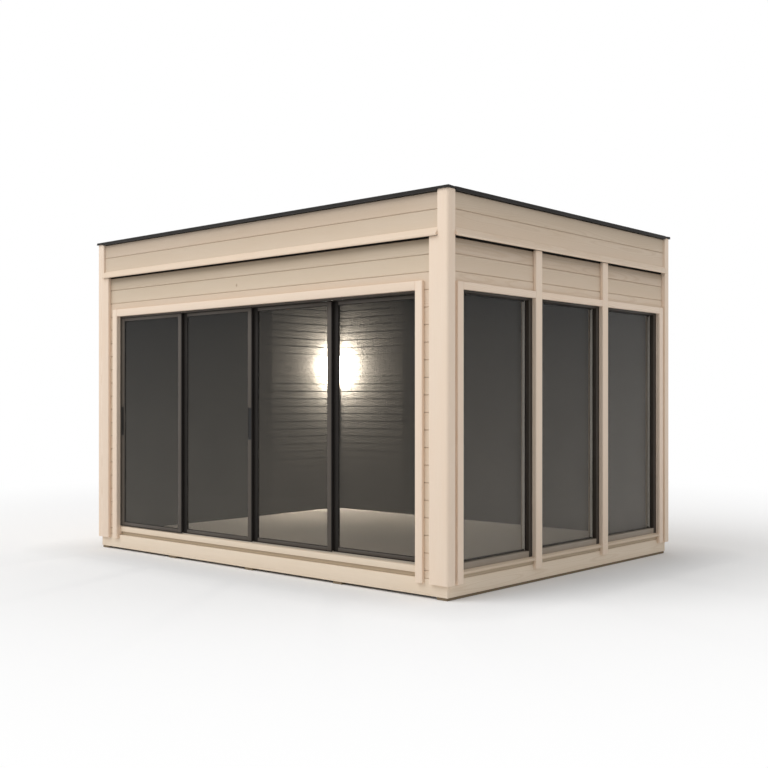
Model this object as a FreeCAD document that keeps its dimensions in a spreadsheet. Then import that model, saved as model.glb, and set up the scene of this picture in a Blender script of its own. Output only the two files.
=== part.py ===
import FreeCAD, Part
import os
import re
import Sketcher

# A flat-roofed timber garden house, in millimetres. The origin is at ground level under the
# middle of the plan, +Z is up, the sliding doors face -Y and the three windows face +X.

doc = FreeCAD.newDocument("garden_house")
sheet = doc.addObject("Spreadsheet::Sheet", "Sizes")

# Every driving size of the house: name, millimetres (or a count) and what it is.
driving_sizes = [
    ("house_length", 4300, "over the corner posts, along X"),
    ("house_width", 3290, "over the corner posts, along Y"),
    ("bearer_height", 20, "flat timbers under the floor"),
    ("bearer_width", 95, ""),
    ("bearer_setback", 36, "bearer ends behind the post faces"),
    ("bearer_count", 5, ""),
    ("base_height", 121, "boards and deck of the floor frame"),
    ("base_thickness", 28, ""),
    ("floor_board_thickness", 13, ""),
    ("cladding_recess", 30, "wall cladding behind the post faces"),
    ("wall_thickness", 115, "cladding, frame and lining together"),
    ("wall_height", 2437, "floor deck to the underside of the roof"),
    ("post_front_width", 98, "on the long faces, full height"),
    ("post_side_width", 84, "on the short faces, full height"),
    ("post_cover_width", 174, "on the long faces, below the parapet"),
    ("post_drop", 33, "posts and trims lap this far over the base boards"),
    ("post_round", 22, "radius of the outer arris"),
    ("parapet_height", 317, ""),
    ("parapet_recess", 17, "parapet boards behind the post faces"),
    ("moulding_height", 62, "strip along the foot of the parapet"),
    ("moulding_projection", 20, "strip in front of the post faces"),
    ("moulding_nose", 18, "height of its upright front"),
    ("moulding_lip", 6, "its top edge in front of the parapet boards"),
    ("moulding_foot", 10, "flat underside of its nose"),
    ("moulding_hollow", 26, "height of the hollow behind its nose"),
    ("roof_thickness", 162, "joists, boards and membrane"),
    ("edge_height", 30, "metal roof edge above the parapet boards"),
    ("edge_cap", 19, "its part that passes over the posts"),
    ("edge_projection", 6, "its face in front of the post faces"),
    ("door_margin", 306, "post face to the doorway, at each end of the front"),
    ("head_height", 2065, "floor deck to door and window heads"),
    ("sole_height", 31, "sole plate under the door threshold"),
    ("sole_setback", 60, ""),
    ("threshold_height", 56, ""),
    ("threshold_setback", 45, ""),
    ("threshold_fall", 13, ""),
    ("threshold_slope", 25, "depth of its sloping front"),
    ("trim_width", 66, "boards round the doorway and beside the windows"),
    ("trim_thickness", 28, ""),
    ("trim_joint", 1, "open joint at each end of a head board"),
    ("head_trim_width", 55, "boards over the windows"),
    ("door_frame_setback", 43, ""),
    ("door_frame_depth", 102, ""),
    ("jamb_thickness", 10, ""),
    ("head_thickness", 14, ""),
    ("track_rail_height", 4, "running rails on the threshold"),
    ("track_rail_width", 5, ""),
    ("leaf_thickness", 19, "sliding leaf"),
    ("leaf_gap", 6, "between neighbouring leaves"),
    ("leaf_inset", 3, "first leaf behind the frame's front edge"),
    ("leaf_overlap", 6, "of closed neighbours"),
    ("leaf_clearance", 5, "leaf to jamb, head and rail"),
    ("running_gap", 0.3, "slider shoe above its rail"),
    ("shoe_length", 60, ""),
    ("shoe_inset", 110, "shoe from the leaf's edge"),
    ("stile_width", 50, ""),
    ("leaf_rail_height", 27, ""),
    ("leaf_glass", 6, ""),
    ("handle_width", 38, ""),
    ("handle_inset", 3, "from the left edge of its stile"),
    ("handle_length", 270, ""),
    ("handle_level", 1077, "its middle above the floor deck"),
    ("handle_thickness", 8, ""),
    ("handle_projection", 1, ""),
    ("window_count", 3, ""),
    ("window_margin", 182.5, "post face to the row of windows, at each end"),
    ("window_foot", 42, "floor deck to the foot of a window opening"),
    ("batten_width", 85.5, "cover batten between two windows"),
    ("sill_thickness", 18, "under the window frame"),
    ("sill_nose", 17, "height of the sill's front"),
    ("sill_fall", 12, "drop of the sill's top towards its front"),
    ("sill_setback", 8, ""),
    ("window_frame_setback", 37, ""),
    ("window_frame_depth", 63, ""),
    ("window_frame_face", 48, ""),
    ("window_cover", 32, "top of the window frames behind the head trims"),
    ("pane_setback", 35, "behind the window frame's front"),
    ("pane_thickness", 24, ""),
    ("lamp_radius", 30, "wall lamp in the back left corner"),
    ("lamp_height", 320, ""),
    ("lamp_level", 1569, "its middle above the floor deck"),
    ("lamp_offset", 60, "its axis from the left lining"),
    ("lamp_standoff", 60, "its axis from the back lining"),
    ("lamp_arm", 24, ""),
]
for row, (name, value, note) in enumerate(driving_sizes, start=1):
    sheet.set("A%d" % row, name)
    sheet.set("B%d" % row, str(value))
    sheet.setAlias("B%d" % row, name)
    sheet.set("C%d" % row, note)
doc.recompute()


def cells(formula):
    """The formula with each size name pointing at its cell."""
    return re.sub(r"[a-z]\w*", r"Sizes.\g<0>", formula)


def count(name):
    """A whole number read from the sheet."""
    return int(sheet.get(name))


# Levels above the ground and depths behind the outer post faces that several pieces share.
base_top = "(bearer_height + base_height)"
lap_level = "(%s - post_drop)" % base_top
wall_top = "(%s + wall_height)" % base_top
parapet_top = "(%s + parapet_height)" % wall_top
roof_top = "(%s + edge_height)" % parapet_top
head_level = "(%s + head_height)" % base_top
sole_top = "(%s + sole_height)" % base_top
door_foot = "(%s + threshold_height)" % sole_top
window_foot = "(%s + window_foot)" % base_top
window_head = "(%s + window_cover)" % head_level
lining_depth = "(cladding_recess + wall_thickness)"
trim_depth = "(cladding_recess - trim_thickness)"


def depth_from(side, depth):
    """Coordinate of the plane that lies this deep behind one of the four outer faces."""
    formulas = {
        "left": "(-house_length / 2 + %s)",
        "right": "(house_length / 2 - %s)",
        "front": "(-house_width / 2 + %s)",
        "back": "(house_width / 2 - %s)",
    }
    return formulas[side] % depth


def ends_between(side, depth):
    """Both ends of a run along one side, each this deep behind the face it stops at."""
    first, last = ("left", "right") if side in ("front", "back") else ("front", "back")
    return depth_from(first, depth), depth_from(last, depth)


def block(label, across, along, up):
    """A box between three pairs of planes, low plane first."""
    box = doc.addObject("Part::Box", label)
    for size, place, (low, high) in (("Length", "x", across), ("Width", "y", along), ("Height", "z", up)):
        box.setExpression(size, cells("(%s) - (%s)" % (high, low)))
        box.setExpression("Placement.Base." + place, cells(low))
    return box


def slab(label, side, outer, inner, run, up):
    """A box along one side of the house, between two depths behind that side's face."""
    planes = [depth_from(side, outer), depth_from(side, inner)]
    if side in ("right", "back"):
        planes.reverse()
    if side in ("front", "back"):
        return block(label, run, planes, up)
    return block(label, planes, run, up)


def fused(label, parts):
    """Several touching solids as one."""
    union = doc.addObject("Part::MultiFuse", label)
    union.Shapes = parts
    union.Refine = True
    return union


def grouped(label, parts):
    """Like pieces that don't touch, kept as separate solids under one name."""
    group = doc.addObject("Part::Compound", label)
    group.Links = parts
    return group


def cut(label, base, tool):
    """The base with the tool taken out of it."""
    rest = doc.addObject("Part::Cut", label)
    rest.Base = base
    rest.Tool = tool
    return rest


def profile(body, plane_role, label, points, offset="0"):
    """A closed outline of straight lines, each corner held at its own two formulas."""
    plane = [item for item in body.Origin.OriginFeatures if item.Role == plane_role][0]
    sketch = body.newObject("Sketcher::SketchObject", label)
    sketch.AttachmentSupport = (plane, [""])
    sketch.MapMode = "FlatFace"
    sketch.setExpression(".AttachmentOffset.Base.z", cells(offset))
    corners = [FreeCAD.Vector(measure(x), measure(y), 0) for x, y in points]
    total = len(points)
    for index in range(total):
        sketch.addGeometry(Part.LineSegment(corners[index], corners[(index + 1) % total]))
    for index in range(total):
        sketch.addConstraint(Sketcher.Constraint("Coincident", index, 2, (index + 1) % total, 1))
    for index, (x, y) in enumerate(points):
        for kind, formula, value in (("DistanceX", x, corners[index].x), ("DistanceY", y, corners[index].y)):
            held = sketch.addConstraint(Sketcher.Constraint(kind, -1, 1, index, 1, value))
            sketch.setExpression("Constraints[%d]" % held, cells(formula))
    return sketch


def measure(formula):
    """A formula's present value, from the sheet's own arithmetic."""
    return float(sheet.evalExpression(cells(formula)))


def padded(body, sketch, label, length, midplane=False):
    """The outline given a length at right angles to its plane."""
    pad = body.newObject("PartDesign::Pad", label)
    pad.Profile = sketch
    pad.Midplane = midplane
    pad.setExpression("Length", cells(length))
    return pad


def moulded_run(label, side, outline, length):
    """A length of one section along a side, centred on the plan. The outline is (depth, level)."""
    body = doc.addObject("PartDesign::Body", label)
    role = "YZ_Plane" if side in ("front", "back") else "XZ_Plane"
    points = [(depth_from(side, depth), level) for depth, level in outline]
    sketch = profile(body, role, label + "_section", points)
    padded(body, sketch, label + "_run", length, midplane=True)
    return body


def corner_post(side_x, side_y):
    """A cover post round one corner: a nose over the base boards, a wide part up to the
    parapet and a narrower part beside the parapet, with its outer arris rounded."""
    label = "corner_post_%s_%s" % (side_y, side_x)
    body = doc.addObject("PartDesign::Body", label)

    def plan(pairs):
        return [(depth_from(side_x, across), depth_from(side_y, along)) for across, along in pairs]

    shell = "cladding_recess"
    nose = [("0", "0"), ("post_cover_width", "0"), ("post_cover_width", shell), (shell, shell),
            (shell, "post_side_width"), ("0", "post_side_width")]
    wide = [("0", "0"), ("post_cover_width", "0"), ("post_cover_width", shell), (lining_depth, shell),
            (lining_depth, "post_side_width"), ("0", "post_side_width")]
    narrow = [("0", "0"), ("post_front_width", "0"), ("post_front_width", "post_side_width"),
              ("0", "post_side_width")]
    stages = [("nose", nose, lap_level, base_top), ("wide", wide, base_top, wall_top),
              ("narrow", narrow, wall_top, "(%s - edge_cap)" % roof_top)]
    for stage, pairs, low, high in stages:
        sketch = profile(body, "XY_Plane", "%s_%s_plan" % (label, stage), plan(pairs), low)
        pad = padded(body, sketch, "%s_%s" % (label, stage), "%s - %s" % (high, low))
    doc.recompute()
    x, y = measure(depth_from(side_x, "0")), measure(depth_from(side_y, "0"))
    arris = ["Edge%d" % number for number, edge in enumerate(pad.Shape.Edges, start=1)
             if all(abs(end.X - x) < 0.01 and abs(end.Y - y) < 0.01 for end in edge.Vertexes)]
    rounding = body.newObject("PartDesign::Fillet", label + "_arris")
    rounding.Base = (pad, arris)
    rounding.setExpression("Radius", cells("post_round"))
    return body


pieces = []

# Floor: bearers front to back, base boards round the rim, one deck inside them.
bearers = []
last_bearer = count("bearer_count") - 1
bearer_travel = "(house_length - 2 * bearer_setback - bearer_width)"
for index in range(count("bearer_count")):
    start = "(-house_length / 2 + bearer_setback + %s * %d / %d)" % (bearer_travel, index, last_bearer)
    bearers.append(block("bearer_%d" % (index + 1), (start, start + " + bearer_width"),
                         ends_between("left", "bearer_setback"), ("0", "bearer_height")))
pieces.append(grouped("floor_bearers", bearers))
board_back = "(cladding_recess + base_thickness)"
for side in ("front", "back", "left", "right"):
    board_end = "cladding_recess" if side in ("front", "back") else board_back
    pieces.append(slab("base_board_" + side, side, "cladding_recess", board_back,
                       ends_between(side, board_end), ("bearer_height", base_top)))
pieces.append(block("floor_deck", ends_between("front", board_back), ends_between("left", board_back),
                    ("bearer_height", base_top)))
pieces.append(block("floor_boards", ends_between("front", lining_depth), ends_between("left", lining_depth),
                    (base_top, "(%s + floor_board_thickness)" % base_top)))

# Corner posts.
for side_y in ("front", "back"):
    for side_x in ("left", "right"):
        pieces.append(corner_post(side_x, side_y))

# Walls. The long ones stop at the posts' cores, the short ones at the posts' sides.
wall_ends = ends_between("front", lining_depth)
doorway_width = "(house_length - 2 * door_margin)"
opening_left = "(-house_length / 2 + door_margin)"
opening_right = "(house_length / 2 - door_margin)"
wall_up = (base_top, wall_top)
front_walls = [
    ("left", (wall_ends[0], opening_left), wall_up),
    ("right", (opening_right, wall_ends[1]), wall_up),
    ("head", (opening_left, opening_right), (head_level, wall_top)),
]
for part, run, up in front_walls:
    pieces.append(slab("front_wall_" + part, "front", "cladding_recess", lining_depth, run, up))
pieces.append(slab("front_sole_plate", "front", "sole_setback", lining_depth, (opening_left, opening_right),
                   (base_top, sole_top)))
pieces.append(slab("back_wall", "back", "cladding_recess", lining_depth, wall_ends, wall_up))
side_ends = ends_between("left", "post_side_width")
pieces.append(slab("left_wall", "left", "cladding_recess", lining_depth, side_ends, wall_up))

# Right wall with its row of windows, which share the run between the two margins.
windows = count("window_count")
row_start = "(-house_width / 2 + window_margin)"
row_end = "(house_width / 2 - window_margin)"
window_width = "((house_width - 2 * window_margin - %d * batten_width) / %d)" % (windows - 1, windows)


def window_start(index):
    """Front edge of a window opening, counted from the front corner."""
    return "(%s + %d * (%s + batten_width))" % (row_start, index, window_width)


def window_span(index, margin="0"):
    """Both edges of a window opening along Y, drawn in by a margin."""
    start = window_start(index)
    return "(%s + %s)" % (start, margin), "(%s + %s - %s)" % (start, window_width, margin)


solid_wall = slab("right_wall_solid", "right", "cladding_recess", lining_depth, side_ends, wall_up)
voids = [slab("window_void_%d" % (index + 1), "right", "0", "(2 * %s)" % lining_depth, window_span(index),
              (window_foot, window_head)) for index in range(windows)]
pieces.append(cut("right_wall", solid_wall, fused("window_voids", voids)))

# Parapet: boards between the posts with a sloping strip along their foot, and the roof inside.
for side in ("front", "back", "left", "right"):
    rim = "post_side_width" if side in ("front", "back") else "post_front_width"
    strip_top = "(%s + moulding_height)" % wall_top
    strip_face = "(0 - moulding_projection)"
    outline = [("parapet_recess", parapet_top), (rim, parapet_top), (rim, wall_top), ("parapet_recess", wall_top),
               ("parapet_recess", "(%s + moulding_hollow)" % wall_top),
               ("(moulding_foot - moulding_projection)", wall_top), (strip_face, wall_top),
               (strip_face, "(%s + moulding_nose)" % wall_top),
               ("(parapet_recess - moulding_lip)", strip_top), ("parapet_recess", strip_top)]
    length = "house_length - 2 * post_front_width" if side in ("front", "back") else \
        "house_width - 2 * post_side_width"
    pieces.append(moulded_run("parapet_" + side, side, outline, length))
roof_up = (wall_top, "(%s + roof_thickness)" % wall_top)
pieces.append(block("roof_deck", ends_between("front", "post_front_width"),
                    ends_between("left", "post_side_width"), roof_up))

# Metal roof edge: the long sides pass over the posts, the short sides fit between them.
cap_level = "(%s - edge_cap)" % roof_top
edge_face = "(0 - edge_projection)"
edge_strips = []
for side in ("front", "back"):
    cap = slab("roof_edge_%s_cap" % side, side, edge_face, "post_side_width",
               ends_between(side, edge_face), (cap_level, roof_top))
    skirt = slab("roof_edge_%s_skirt" % side, side, edge_face, "post_side_width",
                 ends_between(side, "post_front_width"), (parapet_top, cap_level))
    edge_strips.append(fused("roof_edge_" + side, [cap, skirt]))
for side in ("left", "right"):
    edge_strips.append(slab("roof_edge_" + side, side, edge_face, "post_front_width",
                            side_ends, (parapet_top, roof_top)))
pieces.append(grouped("roof_edge", edge_strips))

# Doorway: threshold, aluminium frame with one rail for each leaf, and the timber trims.
threshold = [("threshold_setback", sole_top), (lining_depth, sole_top), (lining_depth, door_foot),
             ("(threshold_setback + threshold_slope)", door_foot),
             ("threshold_setback", "(%s - threshold_fall)" % door_foot)]
pieces.append(moulded_run("door_threshold", "front", threshold, doorway_width))
frame_back = "(door_frame_setback + door_frame_depth)"
jamb_inner_left = "(%s + jamb_thickness)" % opening_left
jamb_inner_right = "(%s - jamb_thickness)" % opening_right
rail_top = "(%s + track_rail_height)" % door_foot
frame_foot = (door_foot, head_level)


def frame_part(label, run, up):
    return slab(label, "front", "door_frame_setback", frame_back, run, up)


def leaf_front(index):
    """Depth of a leaf's front face behind the post faces."""
    return "(door_frame_setback + leaf_inset + %d * (leaf_thickness + leaf_gap))" % index


leaf_count = 4
frame_parts = [
    frame_part("door_jamb_left", (opening_left, jamb_inner_left), frame_foot),
    frame_part("door_jamb_right", (jamb_inner_right, opening_right), frame_foot),
    frame_part("door_head", (jamb_inner_left, jamb_inner_right),
               ("(%s - head_thickness)" % head_level, head_level)),
]
for index in range(leaf_count):
    rail_near = "(%s + (leaf_thickness - track_rail_width) / 2)" % leaf_front(index)
    rail_far = "(%s + track_rail_width)" % rail_near
    frame_parts.append(slab("door_rail_%d" % (index + 1), "front", rail_near, rail_far,
                            (jamb_inner_left, jamb_inner_right), (door_foot, rail_top)))
pieces.append(fused("door_frame", frame_parts))
trim_up = (lap_level, "(%s + trim_width)" % head_level)
pieces.append(grouped("door_surround", [
    slab("door_trim_left", "front", trim_depth, "cladding_recess",
         ("(%s - trim_width)" % opening_left, opening_left), trim_up),
    slab("door_trim_right", "front", trim_depth, "cladding_recess",
         (opening_right, "(%s + trim_width)" % opening_right), trim_up),
    slab("door_trim_head", "front", trim_depth, "cladding_recess",
         ("(%s + trim_joint)" % opening_left, "(%s - trim_joint)" % opening_right), (head_level, trim_up[1])),
]))

# Sliding leaves: a frame on two shoes, its glass and, on the first two, a flush pull.
leaf_width = "((%s - 2 * jamb_thickness - 2 * leaf_clearance + %d * leaf_overlap) / %d)" % (
    doorway_width, leaf_count - 1, leaf_count)
leaf_foot = "(%s + leaf_clearance)" % rail_top
leaf_head = "(%s - head_thickness - leaf_clearance)" % head_level
handled_stiles = {0: "left", 1: "right"}


def leaf_block(label, index, run, up, near="0", far="leaf_thickness"):
    """A box inside one leaf's thickness."""
    front = leaf_front(index)
    return slab(label, "front", "(%s + %s)" % (front, near), "(%s + %s)" % (front, far), run, up)


for index in range(leaf_count):
    name = "door_leaf_%d" % (index + 1)
    left = "(%s + leaf_clearance + %d * (%s - leaf_overlap))" % (jamb_inner_left, index, leaf_width)
    right = "(%s + %s)" % (left, leaf_width)
    inner = ("(%s + stile_width)" % left, "(%s - stile_width)" % right)
    inner_up = ("(%s + leaf_rail_height)" % leaf_foot, "(%s - leaf_rail_height)" % leaf_head)
    leaf = cut(name + "_ring", leaf_block(name + "_outer", index, (left, right), (leaf_foot, leaf_head)),
               leaf_block(name + "_inner", index, inner, inner_up))
    shoe_near = "((leaf_thickness - track_rail_width) / 2)"
    shoe_far = "((leaf_thickness + track_rail_width) / 2)"
    shoe_up = ("(%s + running_gap)" % rail_top, leaf_foot)
    shoe_starts = ["(%s + shoe_inset)" % left, "(%s - shoe_inset - shoe_length)" % right]
    shoes = [leaf_block("%s_shoe_%d" % (name, number), index, (start, start + " + shoe_length"), shoe_up,
                        shoe_near, shoe_far) for number, start in enumerate(shoe_starts, start=1)]
    if index in handled_stiles:
        stile_start = left if handled_stiles[index] == "left" else "(%s - stile_width)" % right
        pull_left = "(%s + handle_inset)" % stile_start
        pull_run = (pull_left, pull_left + " + handle_width")
        pull_foot = "(%s + handle_level - handle_length / 2)" % base_top
        pull_up = (pull_foot, pull_foot + " + handle_length")
        pull_back = "(handle_thickness - handle_projection)"
        pocket = leaf_block(name + "_pocket", index, pull_run, pull_up, "0", pull_back)
        leaf = cut(name + "_stiles", leaf, pocket)
        pieces.append(leaf_block("door_handle_%d" % (index + 1), index, pull_run, pull_up,
                                 "(0 - handle_projection)", pull_back))
    pieces.append(fused(name, [leaf] + shoes))
    pieces.append(leaf_block("door_glass_%d" % (index + 1), index, inner, inner_up,
                             "((leaf_thickness - leaf_glass) / 2)", "((leaf_thickness + leaf_glass) / 2)"))

# Window row: trims, battens, sills, frames and panes.
window_trim_top = "(%s + head_trim_width)" % head_level


def window_trim(label, run, up):
    return slab(label, "right", trim_depth, "cladding_recess", run, up)


side_trim_up = (lap_level, window_trim_top)
window_trims = [
    window_trim("window_trim_front", ("(%s - trim_width)" % row_start, row_start), side_trim_up),
    window_trim("window_trim_back", (row_end, "(%s + trim_width)" % row_end), side_trim_up),
]
battens = []
for index in range(windows):
    window_trims.append(window_trim("window_trim_head_%d" % (index + 1), window_span(index, "trim_joint"),
                                    (head_level, window_trim_top)))
    if index > 0:
        between = (window_span(index - 1)[1], window_start(index))
        battens.append(window_trim("window_batten_%d" % index, between, (lap_level, wall_top)))
pieces.append(grouped("window_surround", window_trims))
pieces.append(grouped("window_battens", battens))
frame_level = "(%s + sill_thickness)" % window_foot
window_frame_back = "(window_frame_setback + window_frame_depth)"
nose_top = "(%s - sill_fall)" % frame_level
nose_foot = "(%s - sill_nose)" % nose_top
sill_points = [("sill_setback", nose_foot), ("cladding_recess", nose_foot), ("cladding_recess", window_foot),
               (window_frame_back, window_foot), (window_frame_back, frame_level),
               ("window_frame_setback", frame_level), ("sill_setback", nose_top)]
sills = []
panes = []
for index in range(windows):
    number = index + 1
    sill = doc.addObject("PartDesign::Body", "window_sill_%d" % number)
    middle = "(%s + %s / 2)" % (window_start(index), window_width)
    points = [(depth_from("right", depth), level) for depth, level in sill_points]
    section = profile(sill, "XZ_Plane", "window_sill_section_%d" % number, points, "(0 - %s)" % middle)
    padded(sill, section, "window_sill_run_%d" % number, window_width, midplane=True)
    sills.append(sill)
    outer = slab("window_outer_%d" % number, "right", "window_frame_setback", window_frame_back,
                 window_span(index), (frame_level, window_head))
    daylight = (window_span(index, "window_frame_face"),
                ("(%s + window_frame_face)" % frame_level, "(%s - window_frame_face)" % window_head))
    inner = slab("window_inner_%d" % number, "right", "window_frame_setback", window_frame_back, *daylight)
    pieces.append(cut("window_frame_%d" % number, outer, inner))
    pane_front = "(window_frame_setback + pane_setback)"
    pane_back = "(%s + pane_thickness)" % pane_front
    panes.append(slab("window_pane_%d" % number, "right", pane_front, pane_back, *daylight))
pieces.append(grouped("window_sills", sills))
pieces.append(grouped("window_glass", panes))

# Small wall lamp in the back left corner, on a short arm.
lamp_x = depth_from("left", "(%s + lamp_offset)" % lining_depth)
lamp_y = depth_from("back", "(%s + lamp_standoff)" % lining_depth)
lamp_foot = "(%s + lamp_level - lamp_height / 2)" % base_top
shade = doc.addObject("Part::Cylinder", "lamp_shade")
shade.setExpression("Radius", cells("lamp_radius"))
shade.setExpression("Height", cells("lamp_height"))
for place, formula in (("x", lamp_x), ("y", lamp_y), ("z", lamp_foot)):
    shade.setExpression("Placement.Base." + place, cells(formula))
arm_low = "(%s + lamp_level - lamp_arm / 2)" % base_top
arm = block("lamp_arm", ("(%s - lamp_arm / 2)" % lamp_x, "(%s + lamp_arm / 2)" % lamp_x),
            (lamp_y, depth_from("back", lining_depth)), (arm_low, arm_low + " + lamp_arm"))
pieces.append(fused("wall_lamp", [shade, arm]))

doc.recompute()
for item in doc.Objects:
    if "Invalid" in item.State or "Error" in item.State:
        raise RuntimeError("%s did not build: %s" % (item.Label, item.State))
for piece in pieces:
    if piece.Shape.isNull() or not piece.Shape.isValid():
        raise RuntimeError("%s has no sound shape" % piece.Label)

os.makedirs("parts", exist_ok=True)
for piece in pieces:
    piece.Shape.exportStep(os.path.join("parts", piece.Label + ".step"))
print("%d pieces written" % len(pieces))
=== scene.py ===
import math
import random

import bmesh
import bpy
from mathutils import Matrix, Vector


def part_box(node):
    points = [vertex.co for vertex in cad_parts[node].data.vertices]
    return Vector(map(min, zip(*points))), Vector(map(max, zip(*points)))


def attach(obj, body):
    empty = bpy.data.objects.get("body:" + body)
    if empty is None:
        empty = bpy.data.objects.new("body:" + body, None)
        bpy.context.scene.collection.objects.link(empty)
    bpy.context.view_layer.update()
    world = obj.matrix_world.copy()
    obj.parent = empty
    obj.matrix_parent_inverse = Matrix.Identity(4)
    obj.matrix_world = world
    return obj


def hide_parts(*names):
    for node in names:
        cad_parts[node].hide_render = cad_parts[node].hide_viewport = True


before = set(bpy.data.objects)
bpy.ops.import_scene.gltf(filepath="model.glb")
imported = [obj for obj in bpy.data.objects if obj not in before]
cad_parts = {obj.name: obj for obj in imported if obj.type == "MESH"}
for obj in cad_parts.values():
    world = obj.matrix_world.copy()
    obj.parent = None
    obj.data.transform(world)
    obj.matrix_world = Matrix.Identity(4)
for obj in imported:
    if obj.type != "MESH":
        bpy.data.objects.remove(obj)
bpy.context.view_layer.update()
dice = random.Random(11)
weld, flat = 0.00001, 0.01  # a merging distance, and an angle that counts as flat

# The four sides, and places shared by the pieces, in metres

outward = {"front": -1, "back": 1, "left": -1, "right": 1}  # along y for the long sides, else along x
halfLength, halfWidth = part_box("corner_post_back_right")[1].xy  # the post faces


def isLong(side):
    return side in ("front", "back")


def grainOf(side):  # the axis that a side's boards lie along
    return 0 if isLong(side) else 1


def runOf(side, low, high):  # where a box starts and ends along a side
    return (low.x, high.x) if isLong(side) else (low.y, high.y)


def depthsOf(side, low, high):  # how deep a box starts and ends behind a side's face
    axis, half = (1, halfWidth) if isLong(side) else (0, halfLength)
    if outward[side] > 0:
        return half - high[axis], half - low[axis]
    return half + low[axis], half + high[axis]


def place(side, depth, along, up):  # a point this deep behind a side's face
    if isLong(side):
        return Vector((along, outward[side] * (halfWidth - depth), up))
    return Vector((outward[side] * (halfLength - depth), along, up))


wallFoot, wallTop = (corner.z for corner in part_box("left_wall"))
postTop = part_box("corner_post_front_left")[1].z
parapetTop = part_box("parapet_front")[1].z
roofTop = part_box("roof_edge")[1].z
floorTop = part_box("floor_boards")[1].z
claddingDepth, liningDepth = depthsOf("back", *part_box("back_wall"))
postSide = depthsOf("front", *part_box("corner_post_front_left"))[1]  # a post's width on the short sides
postFront = depthsOf("right", *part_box("roof_deck"))[0]  # and on the long sides, where the parapet starts
doorLow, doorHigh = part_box("door_frame")


def behindParapet(side):
    return postSide if isLong(side) else postFront


# Finishes


def linear(colour):  # red, green and blue as they look on screen, made ready for a socket
    parts = [value / 255 for value in colour]
    return (*(part / 12.92 if part <= 0.04045 else ((part + 0.055) / 1.055) ** 2.4 for part in parts), 1)


def addNode(tree, kind, settings=None, values=None):
    node = tree.nodes.new(kind)
    for name, value in (settings or {}).items():
        setattr(node, name, value)
    for name, value in (values or {}).items():
        if isinstance(value, bpy.types.NodeSocket):
            tree.links.new(value, node.inputs[name])
        else:
            node.inputs[name].default_value = value
    return node


def newFinish(name):
    finish = bpy.data.materials.new(name)
    finish.use_nodes = True
    finish.node_tree.nodes.clear()
    return finish, finish.node_tree


def surfaced(tree, values):
    surface = addNode(tree, "ShaderNodeBsdfPrincipled", None, values).outputs[0]
    addNode(tree, "ShaderNodeOutputMaterial", None, {"Surface": surface})


def maths(tree, operation, first, second):
    return addNode(tree, "ShaderNodeMath", {"operation": operation}, {0: first, 1: second}).outputs[0]


def vectorMaths(tree, operation, *values):
    return addNode(tree, "ShaderNodeVectorMath", {"operation": operation}, dict(enumerate(values))).outputs


def mixed(tree, amount, first, second, blend="MIX"):
    return addNode(tree, "ShaderNodeMix", {"data_type": "RGBA", "blend_type": blend},
                   {0: amount, 6: first, 7: second}).outputs[2]


def noise(tree, vector, scale, detail, roughness=0.5):
    return addNode(tree, "ShaderNodeTexNoise", None,
                   {"Vector": vector, "Scale": scale, "Detail": detail, "Roughness": roughness}).outputs


def stretched(tree, vector, scale):
    return addNode(tree, "ShaderNodeMapping", None, {"Vector": vector, "Scale": scale}).outputs[0]


def remapped(tree, value, low, high, toLow=0.0, toHigh=1.0):
    return addNode(tree, "ShaderNodeMapRange", None, {"Value": value, "From Min": low, "From Max": high,
                                                      "To Min": toLow, "To Max": toHigh}).outputs[0]


def attribute(tree, name):
    return addNode(tree, "ShaderNodeAttribute", {"attribute_name": name}).outputs


def objectPoint(tree):
    return addNode(tree, "ShaderNodeTexCoord").outputs["Object"]


def bumped(tree, look, height):
    return addNode(tree, "ShaderNodeBump", None,
                   {"Strength": look["relief"], "Distance": look["depth"], "Height": height}).outputs[0]


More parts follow.
